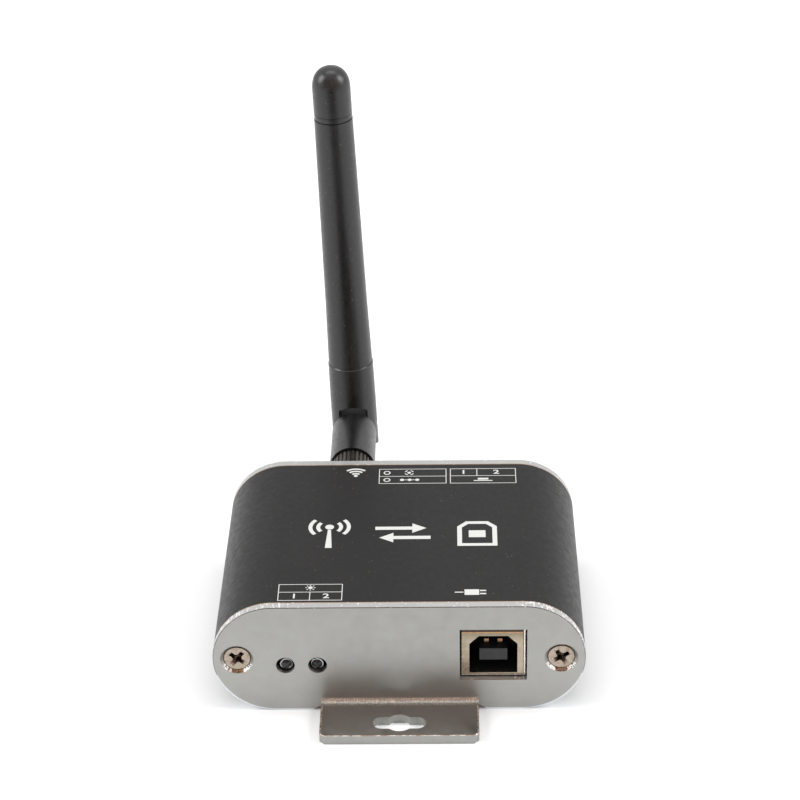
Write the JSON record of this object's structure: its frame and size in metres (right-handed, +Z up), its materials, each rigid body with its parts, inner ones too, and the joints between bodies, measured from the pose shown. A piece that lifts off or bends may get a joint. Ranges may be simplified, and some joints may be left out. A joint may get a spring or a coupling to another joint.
{
  "type": "wireless to wired data converter",
  "caption": "Flat oval metal housing with a square data socket, indicator lamps, fixing ears and a hinged whip antenna.",
  "frame": {"origin": "middle of the housing's underside", "axes": "+X towards the data socket's side, +Y to the rear where the antenna is, +Z up"},
  "size_m": [0.069, 0.1025, 0.0936],
  "materials": {
    "black_shell": "fine blasted, black anodised",
    "satin_plate": "satin, blasted",
    "nickel_screw": "nickel plated",
    "board_green": "solder mask on glass laminate",
    "socket_tin": "tin plated sheet",
    "socket_black": "moulded",
    "contact_gold": "gold plated",
    "lamp_clear": "clear resin",
    "tinned_leg": "tin plated",
    "key_black": "moulded",
    "spring_steel": "spring strip",
    "jack_brass": "gold flash on brass",
    "white_insulator": "moulded",
    "nut_black": "black plated, straight knurl",
    "antenna_black": "fine moulded grain",
    "lead_jacket": "extruded jacket",
    "chip_black": "moulded"
  },
  "bodies": {
    "housing": {"bridge_chip": "chip_black", "bridge_chip_legs": "tinned_leg", "capacitor_cans": "tinned_leg", "circuit_board": "board_green", "coupling_nut": "nut_black", "crystal_can": "tinned_leg", "data_socket_contacts": "contact_gold", "data_socket_moulding": "socket_black", "data_socket_shell": "socket_tin", "extruded_shell": "black_shell", "front_plate": "satin_plate", "front_screws": "nickel_screw", "function_switch_body": "socket_black", "function_switch_cover": "tinned_leg", "function_switch_dome": "spring_steel", "jack_body": "jack_brass", "jack_contact_pin": "contact_gold", "jack_insulator": "white_insulator", "jack_nut": "jack_brass", "left_lamp_legs": "tinned_leg", "left_lamp_lens": "lamp_clear", "lock_washer": "jack_brass", "radio_board": "board_green", "radio_shield": "tinned_leg", "rear_plate": "satin_plate", "rear_screws": "nickel_screw", "regulator_chip": "chip_black", "reset_switch_body": "socket_black", "reset_switch_cover": "tinned_leg", "reset_switch_dome": "spring_steel", "right_lamp_legs": "tinned_leg", "right_lamp_lens": "lamp_clear"},
    "reset_key": {"reset_button": "key_black"},
    "function_key": {"function_button": "key_black"},
    "antenna_foot": {"plug_core": "jack_brass", "plug_insulator": "white_insulator", "plug_contact_pin": "contact_gold", "antenna_base": "antenna_black", "base_lead": "lead_jacket"},
    "antenna_whip": {"hinge_pin": "antenna_black", "antenna_fork": "antenna_black", "antenna_tube": "antenna_black", "antenna_cap": "antenna_black", "radiator_skirt": "jack_brass", "radiator_wire": "contact_gold", "whip_lead": "lead_jacket"}
  },
  "joints": [
    {"name": "reset_press", "type": "slide", "parent": "housing", "child": "reset_key", "axis": [0, -1, 0], "range_m": [0, 0.0003], "stiffness_N_per_m": 3000},
    {"name": "function_press", "type": "slide", "parent": "housing", "child": "function_key", "axis": [0, -1, 0], "range_m": [0, 0.0003], "stiffness_N_per_m": 3000},
    {"name": "antenna_swivel", "type": "hinge", "parent": "housing", "child": "antenna_foot", "pos_m": [-0.01067, 0.0425, 0.0115], "axis": [0, 1, 0], "continuous": true},
    {"name": "antenna_tilt", "type": "hinge", "parent": "antenna_foot", "child": "antenna_whip", "pos_m": [-0.01066, 0.0615, 0.0111], "axis": [-0.9994, 0, -0.0354], "range_deg": [0, 90]}
  ]
}
